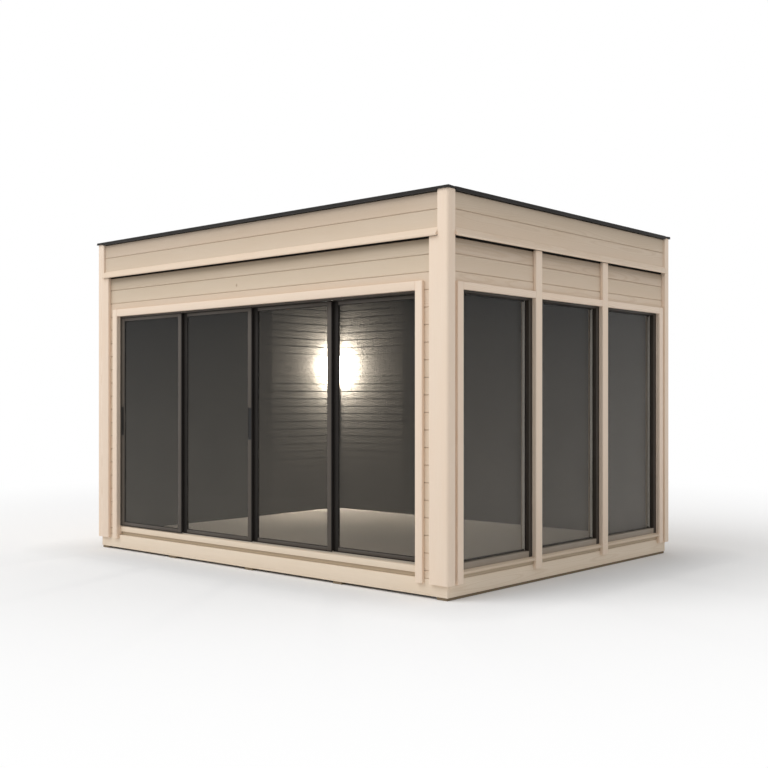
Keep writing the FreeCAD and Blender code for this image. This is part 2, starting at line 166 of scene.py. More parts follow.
# boards carry a "timber" point, grain first, a "tone" for each board, and how deep a painted shade close
# under the tops darkens them
def timberFinish(name, look):
    finish, tree = newFinish(name)
    point = attribute(tree, "timber")["Vector"]
    wander = noise(tree, stretched(tree, point, look["wander"]), 1.0, 1.5)["Color"]
    bent = vectorMaths(tree, "MULTIPLY_ADD", wander, look["bend"], point)[0]
    rings = addNode(tree, "ShaderNodeTexWave", {"wave_type": "RINGS", "rings_direction": "X"},
                    {"Vector": bent, "Scale": look["rings"], "Distortion": look["ripple"], "Detail": 2.0,
                     "Detail Scale": 1.2}).outputs["Fac"]
    lateWood = maths(tree, "MULTIPLY", remapped(tree, rings, 0.55, 1.0), look["ringDepth"])
    fibre = noise(tree, stretched(tree, point, look["fibre"]), 1.0, 3.0, 0.6)["Fac"]
    fibreShare = remapped(tree, fibre, 0.35, 0.75, 0.0, look["fibreDepth"])
    cloud = noise(tree, stretched(tree, point, look["cloud"]), 1.0, 2.0)["Fac"]
    cloudShare = remapped(tree, cloud, 0.4, 0.75, 0.0, look["cloudDepth"])
    toneShare = remapped(tree, attribute(tree, "tone")["Fac"], 0.0, 1.0, 0.0, look["toneDepth"])
    colour = mixed(tree, lateWood, linear(look["light"]), linear(look["dark"]))
    colour = mixed(tree, fibreShare, colour, linear(look["dark"]))
    colour = mixed(tree, cloudShare, colour, linear(look["warm"]))
    colour = mixed(tree, toneShare, colour, linear(look["other"]))
    cell = addNode(tree, "ShaderNodeTexVoronoi", None,
                   {"Vector": stretched(tree, point, look["knots"]), "Scale": 1.0}).outputs
    chosen = addNode(tree, "ShaderNodeSeparateColor", None, {0: cell["Color"]}).outputs[0]
    knotReach = remapped(tree, chosen, look["knotShare"], 1.0, 0.0, look["knotSize"])
    knot = remapped(tree, maths(tree, "SUBTRACT", knotReach, cell["Distance"]), 0.0, look["knotEdge"])
    colour = mixed(tree, maths(tree, "MULTIPLY", knot, look["knotCover"]), colour, linear(look["knot"]))
    # painted shade: the colour is darkened towards a dull colour close under the tops of walls and parapets
    uneven = remapped(tree, cloud, 0.3, 0.7, 0.85, 1.0)
    paintedShade = maths(tree, "MULTIPLY", attribute(tree, "painted_shade")["Fac"], uneven)
    colour = mixed(tree, paintedShade, colour, linear(look["paintedShade"]), "MULTIPLY")
    roughness = remapped(tree, fibre, 0.3, 0.7, look["roughness"] - 0.06, look["roughness"] + 0.08)
    height = maths(tree, "ADD", maths(tree, "MULTIPLY", fibre, 0.6), maths(tree, "MULTIPLY", rings, 0.3))
    surfaced(tree, {"Base Color": colour, "Roughness": roughness, "Normal": bumped(tree, look, height),
                    "Specular IOR Level": look["gloss"]})
    return finish


claddingLook = {
    "light": (229, 210, 190), "dark": (203, 176, 147), "warm": (225, 199, 171), "other": (218, 202, 177),
    "knot": (140, 100, 66), "paintedShade": (169, 166, 160), "wander": (0.9, 3.0, 3.0), "bend": (0.0, 0.05, 0.05),
    "rings": 62.0, "ripple": 1.4, "ringDepth": 0.34, "fibre": (4.0, 420.0, 420.0), "fibreDepth": 0.25,
    "cloud": (1.3, 9.0, 9.0), "cloudDepth": 0.4, "toneDepth": 0.45, "knots": (2.6, 7.0, 2.0),
    "knotShare": 0.55, "knotSize": 0.095, "knotEdge": 0.02, "knotCover": 0.8, "roughness": 0.62,
    "gloss": 0.3, "relief": 0.35, "depth": 0.0006,
}
trimLook = dict(claddingLook, light=(244, 225, 206), dark=(220, 191, 163), warm=(240, 214, 189),
                other=(236, 219, 198), knotShare=0.78, toneDepth=0.3, roughness=0.58)
claddingWood = timberFinish("cladding_wood", claddingLook)
# painted shade: a dark copy of the cladding timber stands in for the dim room inside
shadedLiningWood = timberFinish("lining_wood_painted_shade", dict(
    claddingLook, light=(86, 82, 76), dark=(70, 65, 59), warm=(82, 77, 70), other=(78, 75, 69),
    roughness=0.75, gloss=0.04))
floorWood = timberFinish("floor_wood", dict(
    claddingLook, light=(232, 219, 203), dark=(204, 187, 165), warm=(224, 207, 185), other=(216, 205, 189),
    knotShare=0.8, relief=0.2))
sawnWood = timberFinish("sawn_wood", dict(
    claddingLook, light=(132, 116, 94), dark=(98, 82, 62), warm=(120, 102, 80), other=(112, 98, 78),
    roughness=0.8, relief=0.8))
trimWood = timberFinish("trim_wood", trimLook)
mouldingWood = timberFinish("moulding_wood", dict(
    trimLook, light=(237, 218, 198), dark=(213, 185, 156), warm=(232, 207, 181), other=(228, 212, 189)))
baseWood = timberFinish("base_wood", dict(
    trimLook, light=(234, 218, 198), dark=(211, 189, 161), warm=(228, 207, 181), other=(225, 209, 187)))
# painted shade: a darker copy of the trim timber for the sole plate and the course under the sills, which
# lie in the shade of a nose
shadedSoleWood = timberFinish("sole_wood_painted_shade", dict(
    trimLook, light=(192, 175, 151), dark=(162, 141, 114), warm=(184, 163, 136), other=(181, 163, 138)))
# painted shade: a darker copy of the trim timber, as the sills lie in shade
shadedSillWood = timberFinish("sill_wood_painted_shade", dict(
    trimLook, light=(218, 200, 179), dark=(194, 169, 141), warm=(212, 189, 162), other=(208, 190, 167)))


def coatedFinish(name, look):  # fine speckle of a powder coat, membrane or rubber, with soft wear
    finish, tree = newFinish(name)
    point = objectPoint(tree)
    grit = noise(tree, point, look["grit"], 2.0)["Fac"]
    cloud = noise(tree, point, look["cloud"], 3.0)["Fac"]
    fleckShare = remapped(tree, grit, 0.45, 0.75, 0.0, look["speckle"])
    colour = mixed(tree, remapped(tree, cloud, 0.3, 0.7), linear(look["colour"]), linear(look["other"]))
    colour = mixed(tree, fleckShare, colour, linear(look["fleck"]))
    roughness = remapped(tree, cloud, 0.25, 0.75, look["roughness"] - 0.07, look["roughness"] + 0.07)
    surfaced(tree, {"Base Color": colour, "Roughness": roughness, "Normal": bumped(tree, look, grit),
                    "Specular IOR Level": look["gloss"]})
    return finish


frameLook = {"colour": (82, 75, 68), "other": (76, 69, 62), "fleck": (92, 86, 79), "grit": 900.0,
             "cloud": 2.5, "speckle": 0.4, "roughness": 0.45, "relief": 0.12, "depth": 0.0003, "gloss": 0.3}
frameMetal = coatedFinish("frame_metal", frameLook)
edgeMetal = coatedFinish("edge_metal", dict(
    frameLook, colour=(38, 35, 33), other=(33, 31, 29), fleck=(52, 49, 46), roughness=0.6, gloss=0.2))
pullMetal = coatedFinish("pull_metal", dict(
    frameLook, colour=(28, 26, 25), other=(24, 23, 22), fleck=(40, 38, 36), roughness=0.4))
gasketRubber = coatedFinish("gasket_rubber", dict(
    frameLook, colour=(31, 27, 23), other=(27, 23, 20), fleck=(39, 35, 31), roughness=0.7))
# painted shade: the casing's sides and head are a darker copy of the frame metal
shadedCasingMetal = coatedFinish("casing_metal_painted_shade", dict(
    frameLook, colour=(57, 50, 43), other=(52, 46, 39), fleck=(67, 60, 53)))
# painted light: the casing's bottom rail is a lighter copy of the frame metal
litRailMetal = coatedFinish("bottom_rail_painted_light", dict(
    frameLook, colour=(150, 138, 124), other=(142, 130, 116), fleck=(160, 149, 136)))
trackMetal = coatedFinish("track_metal", dict(
    frameLook, colour=(176, 166, 152), other=(166, 156, 142), fleck=(190, 181, 168), roughness=0.5))
spacerMetal = coatedFinish("spacer_metal", dict(
    frameLook, colour=(232, 226, 215), other=(222, 215, 203), fleck=(240, 235, 226)))
# a dark membrane behind the boards; its darkness is also painted shade in the gaps and hollows
breatherSheetShade = coatedFinish("breather_sheet_and_painted_shade", dict(
    frameLook, colour=(40, 38, 35), other=(34, 32, 30), fleck=(52, 50, 46), roughness=0.85, gloss=0.1))
roofMembrane = coatedFinish("roof_membrane", {
    "colour": (72, 71, 70), "other": (62, 61, 60), "fleck": (110, 108, 105), "grit": 450.0, "cloud": 1.2,
    "speckle": 0.5, "roughness": 0.85, "relief": 0.5, "depth": 0.0012, "gloss": 0.5})


def glassFinish(name, look):  # clear glass with a film painted lighter towards the foot as a painted reflection, and patches of haze
    finish, tree = newFinish(name)
    point = objectPoint(tree)
    cloud = noise(tree, point, look["cloud"], 3.0)["Fac"]
    height = addNode(tree, "ShaderNodeSeparateXYZ", None, {0: point}).outputs["Z"]
    drop = maths(tree, "POWER", remapped(tree, height, doorHigh.z, doorLow.z), look["fade"])
    paintedReflection = mixed(tree, drop, linear(look["head"]), linear(look["foot"]))
    paintedReflection = mixed(tree, remapped(tree, cloud, 0.4, 0.8, 0.0, look["hazeDepth"]), paintedReflection, linear(look["haze"]))
    roughness = remapped(tree, cloud, 0.4, 0.8, 0.0, look["smear"])
    surfaced(tree, {"Base Color": paintedReflection, "Roughness": roughness, "Alpha": look["cover"],
                    "Specular IOR Level": look["gloss"]})
    return finish


leafGlassLook = {"head": (16, 15, 14), "foot": (96, 91, 82), "haze": (50, 48, 44), "cloud": 3.0,
                 "fade": 0.75, "hazeDepth": 0.25, "smear": 0.06, "cover": 0.36, "gloss": 0.42}
paneGlassLook = dict(leafGlassLook, head=(32, 30, 28), foot=(130, 123, 113), haze=(70, 67, 62), cover=0.2,
                     gloss=0.47)
leafGlass = glassFinish("leaf_glass", leafGlassLook)
innerLeafGlass = glassFinish("inner_leaf_glass", dict(leafGlassLook, foot=(98, 92, 83), gloss=0.3))
paneGlass = glassFinish("pane_glass", paneGlassLook)
brighterPaneGlass = glassFinish("pane_glass_brighter_painted_reflection", dict(
    paneGlassLook, head=(62, 59, 55), foot=(140, 133, 123), cover=0.22, gloss=0.5))

shadeLook = {"colour": (66, 62, 56), "other": (54, 51, 46), "cloud": 60.0, "glow": (255, 251, 246),
             "strength": 12.0, "roughness": 0.4}
opalShade, tree = newFinish("opal_shade")
milk = noise(tree, objectPoint(tree), shadeLook["cloud"], 2.0)["Fac"]
surfaced(tree, {"Base Color": mixed(tree, milk, linear(shadeLook["colour"]), linear(shadeLook["other"])),
                "Emission Color": linear(shadeLook["glow"]), "Emission Strength": shadeLook["strength"],
                "Roughness": shadeLook["roughness"]})
print("finishes are ready")

# Shaping; a finish is given by its place in the piece's own list of finishes

grainStart = ((0, 40), (-0.1, 0.1), (0.02, 0.12))  # how far along, across and deep a board's grain may start


def newShape():
    shape = bmesh.new()
    shape.verts.layers.float.new("tone")
    shape.verts.layers.float.new("painted_shade")
    shape.verts.layers.float_vector.new("timber")
    return shape


def marked(shape, verts, grain, finish):  # gives one board its own stretch of grain
    tone, timber = shape.verts.layers.float["tone"], shape.verts.layers.float_vector["timber"]
    middle = sum((vert.co for vert in verts), Vector()) / len(verts)
    shift = Vector([dice.uniform(*reach) for reach in grainStart])
    value = dice.random()
    for vert in verts:
        local = vert.co - middle
        vert[tone] = value
        vert[timber] = Vector([local[(grain + turn) % 3] for turn in range(3)]) + shift
    for face in {face for vert in verts for face in vert.link_faces}:
        face.material_index = finish


def bevelled(shape, edges, offset, segments):
    bmesh.ops.bevel(shape, geom=edges, offset=offset, segments=segments, profile=0.5, affect="EDGES",
                    material=-1)


def addBlock(shape, low, high, edge, segments=1, finish=0, grain=0):
    low, high = Vector(low), Vector(high)
    verts = bmesh.ops.create_cube(shape, size=1.0)["verts"]
    bmesh.ops.scale(shape, vec=high - low, verts=verts)
    bmesh.ops.translate(shape, vec=(low + high) / 2, verts=verts)
    marked(shape, verts, grain, finish)
    if edge:
        bevelled(shape, list({item for vert in verts for item in vert.link_edges}), edge, segments)


def addBoard(shape, side, depths, run, up, edge, segments=1, finish=0, grain=None):
    ends = [place(side, *end) for end in zip(depths, run, up)]
    addBlock(shape, Vector(map(min, *ends)), Vector(map(max, *ends)), edge, segments, finish,
             grainOf(side) if grain is None else grain)


def addRing(shape, side, depths, run, up, width, edge, finishes):  # two slim uprights, then two levels
    for start in (run[0], run[1] - width):
        addBoard(shape, side, depths, (start, start + width), up, edge, 1, finishes[0])
    for start in (up[0], up[1] - width):
        addBoard(shape, side, depths, (run[0] + width, run[1] - width), (start, start + width), edge, 1,
                 finishes[1])


def addRun(shape, side, outline, run, finish=0):  # one section (depth, up) drawn along a side
    ring = [shape.verts.new(place(side, depth, run[0], up)) for depth, up in outline]
    face = shape.faces.new(ring)
    grown = bmesh.ops.extrude_face_region(shape, geom=[face])["geom"]
    tips = [item for item in grown if isinstance(item, bmesh.types.BMVert)]
    length = place(side, 0, run[1], 0) - place(side, 0, run[0], 0)
    bmesh.ops.translate(shape, vec=length, verts=tips)
    marked(shape, ring + tips, grainOf(side), finish)
    faces = {item for vert in ring + tips for item in vert.link_faces}
    bmesh.ops.recalc_face_normals(shape, faces=list(faces))


def paintShadeBelow(shape, top, steps):  # boards are painted darkest close under a moulding, a painted shade; steps are (drop, share)
    for drop, _ in steps[1:-1]:
        bmesh.ops.bisect_plane(shape, geom=[*shape.verts, *shape.edges, *shape.faces],
                               plane_co=(0, 0, top - drop), plane_no=(0, 0, 1))
    layer = shape.verts.layers.float["painted_shade"]
    for vert in shape.verts:
        drop = max(0, top - vert.co.z)
        for (near, first), (far, second) in zip(steps, steps[1:]):
            if near <= drop < far:
                vert[layer] = first + (second - first) * (drop - near) / (far - near)


def easedCopy(node, grain, edge, segments, sharp):  # a plain solid, merged first, with its edges eased
    shape = newShape()
    shape.from_mesh(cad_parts[node].data)
    bmesh.ops.remove_doubles(shape, verts=shape.verts, dist=weld)
    bmesh.ops.dissolve_limit(shape, angle_limit=flat, verts=shape.verts, edges=shape.edges)
    edges = [item for item in shape.edges
             if item.is_manifold and item.calc_face_angle(0) > math.radians(sharp)]
    bevelled(shape, edges, edge, segments)
    marked(shape, list(shape.verts), grain, 0)
    return shape


def finished(name, shape, finishes, replaced=(), body="house", sharp=35):
    for face in shape.faces:
        face.smooth = True
    for item in shape.edges:
        item.smooth = item.is_manifold and item.calc_face_angle(3.0) < math.radians(sharp)
    mesh = bpy.data.meshes.new(name)
    shape.to_mesh(mesh)
    shape.free()
    for finish in finishes:
        mesh.materials.append(finish)
    piece = bpy.data.objects.new(name, mesh)
    bpy.context.scene.collection.objects.link(piece)
    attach(piece, body)
    if replaced:
        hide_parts(*replaced)


def strips(start, stop, width):  # both edges of each board, near this width, that fills a span
    count = round((stop - start) / width)
    levels = [start + (stop - start) * index / count for index in range(count + 1)]
    return list(zip(levels, levels[1:]))


def spaced(start, stop, width, count):  # both edges of each timber in an even row
    nears = [start + (stop - start - width) * index / (count - 1) for index in range(count)]
    return [(near, near + width) for near in nears]


# Floor

floorBuild = {"bearers": 5, "bearerWidth": 0.095, "joists": 8, "joistWidth": 0.045, "sawnEdge": 0.0015,
              "subfloor": 0.022, "subfloorEdge": 0.001, "plank": 0.14, "plankEdge": 0.0008,
              "cuts": ((0.31, 0.78), (0.5,), (0.18, 0.64)), "boardEdge": 0.003}

low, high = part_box("floor_bearers")
shape = newShape()
for near, far in spaced(low.x, high.x, floorBuild["bearerWidth"], floorBuild["bearers"]):
    addBlock(shape, (near, low.y, low.z), (far, high.y, high.z), floorBuild["sawnEdge"], grain=1)
finished("bearer_timbers", shape, [sawnWood], ["floor_bearers"])

low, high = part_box("floor_deck")
joistTop = high.z - floorBuild["subfloor"]
shape = newShape()
addBlock(shape, (low.x, low.y, joistTop), high, floorBuild["subfloorEdge"])
for near, far in spaced(low.y, high.y, floorBuild["joistWidth"], floorBuild["joists"]):
    addBlock(shape, (low.x, near, low.z), (high.x, far, joistTop), floorBuild["sawnEdge"])
for near, far in spaced(low.x, high.x, floorBuild["joistWidth"], 2):
    addBlock(shape, (near, low.y, low.z), (far, high.y, joistTop), floorBuild["sawnEdge"], grain=1)
finished("floor_joists", shape, [sawnWood], ["floor_deck"])

for side in outward:
    shape = newShape()
    addBlock(shape, *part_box("base_board_" + side), floorBuild["boardEdge"], 2, grain=grainOf(side))
    finished("base_timber_" + side, shape, [baseWood], ["base_board_" + side])

low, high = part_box("floor_boards")
shape = newShape()
for course, (near, far) in enumerate(strips(low.y, high.y, floorBuild["plank"])):
    shares = floorBuild["cuts"][course % len(floorBuild["cuts"])]
    cuts = [low.x, *(low.x + (high.x - low.x) * share for share in shares), high.x]
    for start, stop in zip(cuts, cuts[1:]):
        addBlock(shape, (start, near, low.z), (stop, far, high.z), floorBuild["plankEdge"])
finished("floor_planks", shape, [floorWood], ["floor_boards"])
print("floor is built")

# Walls

wallBuild = {
    "board": 0.1256, "firstJoint": 0.197, "thickness": 0.02, "groove": 0.005, "slit": 0.0008,
    "shadowGap": 0.006, "lining": 0.085, "liningThickness": 0.013, "liningSlit": 0.005, "seam": 0.004,
    "reveal": 0.018, "revealFront": 0.075, "revealEdge": 0.0012, "underSill": 0.042, "leastCourse": 0.02,
    "leastCut": 0.006, "leastLength": 0.004,
    # painted shade under the moulding, as (drop, share) steps
    "paintedShade": ((0, 0.95), (0.035, 0.85), (0.055, 0.6), (0.075, 0.42), (0.126, 0.25), (0.25, 0.08),
               (0.38, 0)),
}
outerBack = claddingDepth + wallBuild["thickness"]
innerFront = liningDepth - wallBuild["liningThickness"]
tongueFront = liningDepth - wallBuild["seam"]


def courseLevels(top, first, pitch):
    levels, level, least = [wallFoot], first, wallBuild["leastCourse"]
    while level < top - least:
        if level > wallFoot + least:
            levels.append(level)
        level += pitch
    return levels + [top]


def besideGaps(run, gaps, level):  # what the openings leave of a course at this level
    parts, reveal = [run], wallBuild["reveal"]
    for gapStart, gapStop, gapFoot, gapTop in gaps:
        if gapFoot < level < gapTop:
            parts = [part for start, stop in parts for part in
                     ((start, min(stop, gapStart - reveal)), (max(start, gapStop + reveal), stop))
                     if part[1] - part[0] > wallBuild["leastLength"]]
    return parts


def boarded(shape, side, gaps):  # both skins of a wall; gaps are (start, stop, foot, top) openings
    run = runOf(side, *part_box("back_wall" if isLong(side) else "left_wall"))
    outerTop = wallTop - wallBuild["shadowGap"]
    outerLevels = courseLevels(outerTop, wallBuild["firstJoint"], wallBuild["board"])
    innerLevels = courseLevels(wallTop, floorTop + wallBuild["lining"], wallBuild["lining"])
    skins = (((claddingDepth, outerBack), outerLevels, wallBuild["groove"], wallBuild["slit"]),
             ((tongueFront, liningDepth), innerLevels, 0, wallBuild["liningSlit"]),
             ((outerBack, innerFront), [wallFoot, wallTop], 0, 0))
    for skin, (depths, levels, groove, slit) in enumerate(skins):
        levels = sorted({*levels, *(level for gap in gaps for level in gap[2:])})
        levels = [level for index, level in enumerate(levels)
                  if index == 0 or level - levels[index - 1] > wallBuild["leastCut"]]
        for low, high in zip(levels, levels[1:]):
            underSill = skin == 0 and any(high <= gap[2] for gap in gaps)  # a course painted darker, a painted shade under the sills
            for part in besideGaps(run, gaps, (low + high) / 2):
                if skin == 1:  # the tongues, which fill the joints behind the faces
                    addBoard(shape, side, (innerFront, tongueFront), part, (low, high), 0, 1, 1)
                addBoard(shape, side, depths, part, (low + slit, high - slit), groove, 1,
                         4 if underSill else skin)
    reveal, revealFront = wallBuild["reveal"], wallBuild["revealFront"]
    for gapStart, gapStop, gapFoot, gapTop in gaps:  # boards that line the sides of an opening
        for start in (gapStart - reveal, gapStop):
            for depths, finish in (((claddingDepth, revealFront), 3),
                                   ((revealFront, liningDepth), 3 if side == "right" else 1)):
                addBoard(shape, side, depths, (start, start + reveal), (gapFoot, gapTop),
                         wallBuild["revealEdge"], 1, finish, 2)
    paintShadeBelow(shape, wallTop, wallBuild["paintedShade"])


windowBoxes = [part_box("window_frame_%d" % number) for number in (1, 2, 3)]
windowFoot = wallFoot + wallBuild["underSill"]
wallGaps = {"front": [(doorLow.x, doorHigh.x, wallFoot, doorHigh.z)], "back": [], "left": [],
            "right": [(low.y, high.y, windowFoot, high.z) for low, high in windowBoxes]}
wallNodes = {"front": ["front_wall_left", "front_wall_right", "front_wall_head"], "back": ["back_wall"],
             "left": ["left_wall"], "right": ["right_wall"]}
wallFinishes = [claddingWood, shadedLiningWood, breatherSheetShade, trimWood, shadedSoleWood]
for side in outward:
    shape = newShape()
    boarded(shape, side, wallGaps[side])
    finished(side + "_boarding", shape, wallFinishes, wallNodes[side])
print("walls are boarded")

# Corner posts

postBuild = {"edge": 0.0025, "segments": 2, "sharp": 40}
for corner in ("front_left", "front_right", "back_left", "back_right"):
    finished("corner_board_" + corner, easedCopy("corner_post_" + corner, 2, **postBuild), [trimWood],
             ["corner_post_" + corner])
print("corner posts are set")

# Parapet

parapetBuild = {"setback": 0.037, "board": 0.02, "joint": 0.125, "strip": 0.062, "stripLap": 0.01,
                "nose": 0.018, "round": 0.005, "lip": 0.006, "ease": 0.002, "foot": 0.01, "hollow": 0.026,
                "groove": 0.005, "slit": 0.0008, "backEdge": 0.001,
                # painted shade under the roof edge, as (drop, share) steps
                "paintedShade": ((0, 0.5), (0.03, 0.42), (0.125, 0.25), (0.25, 0.08), (0.38, 0))}

for side in outward:
    low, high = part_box("parapet_" + side)
    run, face = runOf(side, low, high), depthsOf(side, low, high)[0]
    boardFace = face + parapetBuild["setback"]
    boardBack = boardFace + parapetBuild["board"]
    stripTop, joint = low.z + parapetBuild["strip"], high.z - parapetBuild["joint"]
    shape = newShape()
    for foot, top in ((stripTop - parapetBuild["stripLap"], joint), (joint, high.z)):
        addBoard(shape, side, (boardFace, boardBack), run,
                 (foot + parapetBuild["slit"], top - parapetBuild["slit"]), parapetBuild["groove"])
    paintShadeBelow(shape, parapetTop, parapetBuild["paintedShade"])
    addBoard(shape, side, (boardBack, behindParapet(side)), run, (low.z, high.z), parapetBuild["backEdge"],
             1, 1)
    turn, ease, lip = parapetBuild["round"], parapetBuild["ease"], boardFace - parapetBuild["lip"]
    noseTop = low.z + parapetBuild["nose"]
    outline = [(boardFace + ease, low.z + parapetBuild["hollow"]), (face + parapetBuild["foot"], low.z)]
    for up, angles in ((low.z + turn, range(-90, 1, 30)), (noseTop - turn, range(0, 61, 20))):
        outline += [(face + turn * (1 - math.cos(angle)), up + turn * math.sin(angle))
                    for angle in map(math.radians, angles)]
    outline += [(lip, stripTop - ease), (lip + ease, stripTop), (boardFace + ease, stripTop)]
    addRun(shape, side, outline, run, 2)
    finished("parapet_boarding_" + side, shape, [claddingWood, breatherSheetShade, mouldingWood],
             ["parapet_" + side])
print("parapet is boarded")

# Roof

roofBuild = {"ceilingBoard": 0.115, "ceiling": 0.012, "ceilingEdge": 0.003, "membrane": 0.004, "sheet": 1.0,
             "lap": 0.08, "lapHeight": 0.003, "lapEdge": 0.001, "upstand": 0.004, "cant": 0.035}

low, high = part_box("roof_deck")
ceilingTop, deckTop = low.z + roofBuild["ceiling"], high.z - roofBuild["membrane"]
shape = newShape()
for near, far in strips(low.y, high.y, roofBuild["ceilingBoard"]):
    addBlock(shape, (low.x, near, low.z), (high.x, far, ceilingTop), roofBuild["ceilingEdge"], finish=1)
addBlock(shape, (low.x, low.y, ceilingTop), (high.x, high.y, deckTop), 0, finish=2)
addBlock(shape, (low.x, low.y, deckTop), high, 0)
start = low.x + roofBuild["sheet"]
while start < high.x - roofBuild["lap"]:
    addBlock(shape, (start, low.y, high.z - roofBuild["lapEdge"]),
             (start + roofBuild["lap"], high.y, high.z + roofBuild["lapHeight"]), roofBuild["lapEdge"])
    start += roofBuild["sheet"]
for side in outward:
    inner, cantTop = behindParapet(side), high.z + roofBuild["cant"]
    outline = [(inner, high.z), (inner + roofBuild["cant"], high.z), (inner + roofBuild["upstand"], cantTop),
               (inner + roofBuild["upstand"], parapetTop), (inner, parapetTop)]
    addRun(shape, side, outline, runOf(side, low, high))
finished("roof_covering", shape, [roofMembrane, shadedLiningWood, sawnWood], ["roof_deck"])

edgeBuild = {"face": -0.006, "drip": 0.004, "dripTop": 0.006, "lip": 0.001, "fall": 0.004, "ease": 0.003,
             "sharp": 25}


def edgeOutline(side, foot):
    inner, face, ease = behindParapet(side), edgeBuild["face"], edgeBuild["ease"]
    drip, back = face - edgeBuild["drip"], roofTop - edgeBuild["fall"]
    return [(inner, foot), (face + edgeBuild["dripTop"], foot), (drip, foot - edgeBuild["lip"]),
            (drip, foot + edgeBuild["lip"]), (face, foot + edgeBuild["dripTop"]), (face, roofTop - ease),
            (face + ease, roofTop), (inner - ease, back), (inner, back - ease)]


shape = newShape()
ends, beside = halfLength - edgeBuild["face"], halfLength - postFront
for side in ("front", "back"):
    addRun(shape, side, edgeOutline(side, parapetTop), (-beside, beside))
    addRun(shape, side, edgeOutline(side, postTop), (-ends, -beside))
    addRun(shape, side, edgeOutline(side, postTop), (beside, ends))
beside = halfWidth - postSide
for side in ("left", "right"):
    addRun(shape, side, edgeOutline(side, parapetTop), (-beside, beside))
finished("roof_edging", shape, [edgeMetal], ["roof_edge"], sharp=edgeBuild["sharp"])
print("roof is covered")

# Doorway, and the trim boards round doors and windows

trimBuild = {"width": 0.066, "depths": (0.002, 0.03), "joint": 0.001, "edge": 0.003}
doorBuild = {"soleEdge": 0.0015, "jamb": 0.01, "jambFront": 0.032, "head": 0.014, "edge": 0.001,
             "rail": 0.004, "railThickness": 0.005, "railEdge": 0.0008, "firstLeaf": 0.046,
             "leafPitch": 0.025, "leafDepth": 0.019}
thresholdBuild = {"edge": 0.003, "segments": 3, "sharp": 25}


def addUpright(shape, side, run, up):
    addBoard(shape, side, trimBuild["depths"], run, up, trimBuild["edge"], 2, 0, 2)


def addTrim(shape, side, node, boxes):  # an upright board at both ends, and a head board over each opening
    low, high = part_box(node)
    ends, width, joint = runOf(side, low, high), trimBuild["width"], trimBuild["joint"]
    for start in (ends[0], ends[1] - width):
        addUpright(shape, side, (start, start + width), (low.z, high.z))
    for start, stop in (runOf(side, *box) for box in boxes):
        addBoard(shape, side, trimBuild["depths"], (start + joint, stop - joint), (doorHigh.z, high.z),
                 trimBuild["edge"], 2)


shape = newShape()
addBlock(shape, *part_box("front_sole_plate"), doorBuild["soleEdge"])
finished("sole_timber", shape, [shadedSoleWood], ["front_sole_plate"])
finished("threshold_timber", easedCopy("door_threshold", 0, **thresholdBuild), [baseWood],
         ["door_threshold"])

shape = newShape()
addTrim(shape, "front", "door_surround", [(doorLow, doorHigh)])
finished("door_surround_boards", shape, [trimWood], ["door_surround"])


def addRail(shape, middle, run, up, edge):  # a thin strip on the centre line of a leaf
    half = doorBuild["railThickness"] / 2
    addBoard(shape, "front", (middle - half, middle + half), run, up, edge, 1, 1)


shape = newShape()
near, far = depthsOf("front", doorLow, doorHigh)
jambBack = near + doorBuild["jambFront"]
leftFace, rightFace = doorLow.x + doorBuild["jamb"], doorHigh.x - doorBuild["jamb"]
headFoot = doorHigh.z - doorBuild["head"]
for run in ((doorLow.x, leftFace), (rightFace, doorHigh.x)):
    addBoard(shape, "front", (near, jambBack), run, (doorLow.z, doorHigh.z), doorBuild["edge"])
    addBoard(shape, "front", (jambBack, far), run, (doorLow.z, doorHigh.z), doorBuild["edge"], 1, 2, 2)
addBoard(shape, "front", (near, far), (leftFace, rightFace), (headFoot, doorHigh.z), doorBuild["edge"])
for index in range(4):  # one track for each leaf
    middle = doorBuild["firstLeaf"] + doorBuild["leafPitch"] * index + doorBuild["leafDepth"] / 2
    addRail(shape, middle, (leftFace, rightFace), (doorLow.z, doorLow.z + doorBuild["rail"]),
            doorBuild["railEdge"])
finished("door_lining", shape, [frameMetal, trackMetal, shadedLiningWood], ["door_frame"])

leafBuild = {"stile": 0.05, "meeting": 0.0085, "rail": 0.027, "glass": 0.006, "edge": 0.0015,
             "gasket": 0.004, "gasketEdge": 0.0008, "lift": 0.0047, "shoe": 0.06, "shoeInset": 0.11,
             "shoeTop": 0.002, "shoeEdge": 0.001, "pocket": 0.007, "pocketDraft": 0.0001,
             "pocketSlack": 0.002, "brush": 0.004, "brushGap": 0.0015, "brushLap": 0.001,
             "brushWidth": 0.006, "brushEdge": 0.0005, "sweepEdge": 0.0008}


def facesFront(face):
    return face.normal.y < -0.9


def pocketed(shape, low, high):  # sinks a pull's rectangle into the front of the stiles
    geom = [*shape.verts, *shape.edges, *shape.faces]
    for level, normal in ((low, (1, 0, 0)), (high, (1, 0, 0)), (low, (0, 0, 1)), (high, (0, 0, 1))):
        geom = bmesh.ops.bisect_plane(shape, geom=geom, plane_co=level, plane_no=normal)["geom"]
    shape.normal_update()
    middle, slack = (low + high) / 2, leafBuild["pocketSlack"]
    sunk = [face for face in shape.faces
            if facesFront(face) and (face.calc_center_median() - middle).xz.length < slack]
    bmesh.ops.inset_individual(shape, faces=sunk, thickness=leafBuild["pocketDraft"],
                               depth=-leafBuild["pocket"])


